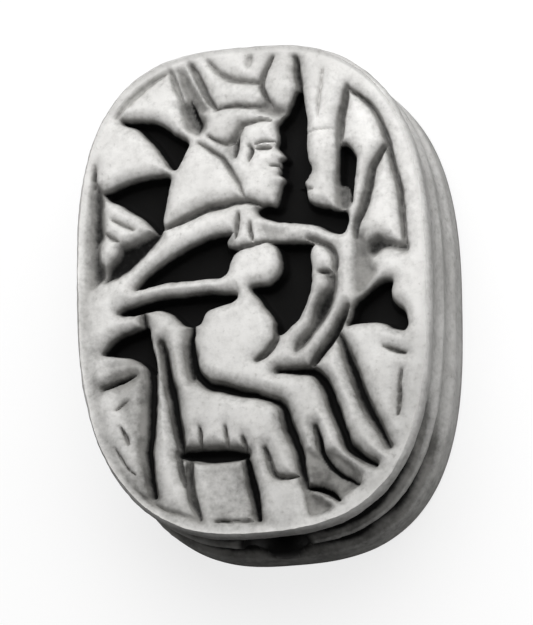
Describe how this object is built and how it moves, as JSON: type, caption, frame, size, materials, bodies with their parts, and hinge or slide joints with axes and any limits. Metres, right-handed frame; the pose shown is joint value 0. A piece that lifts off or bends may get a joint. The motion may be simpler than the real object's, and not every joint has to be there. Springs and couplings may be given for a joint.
{
  "type": "oval seal plaque",
  "caption": "Flat-backed oval plaque of carved pale stone with a seated figure in sunk relief, a grooved edge and a lengthwise bore.",
  "frame": {"origin": "middle of the flat back, on the surface the plaque lies on", "axes": "+Z out of the carved face, +Y along the plaque towards the figure's head, +X the way the figure faces"},
  "size_m": [0.013, 0.018, 0.005],
  "materials": {
    "pale_stone": "smooth worn pale soapstone, satin, with dark dirt in the deep cuts"
  },
  "bodies": {
    "root": {"oval_plaque": "pale_stone"}
  },
  "joints": []
}
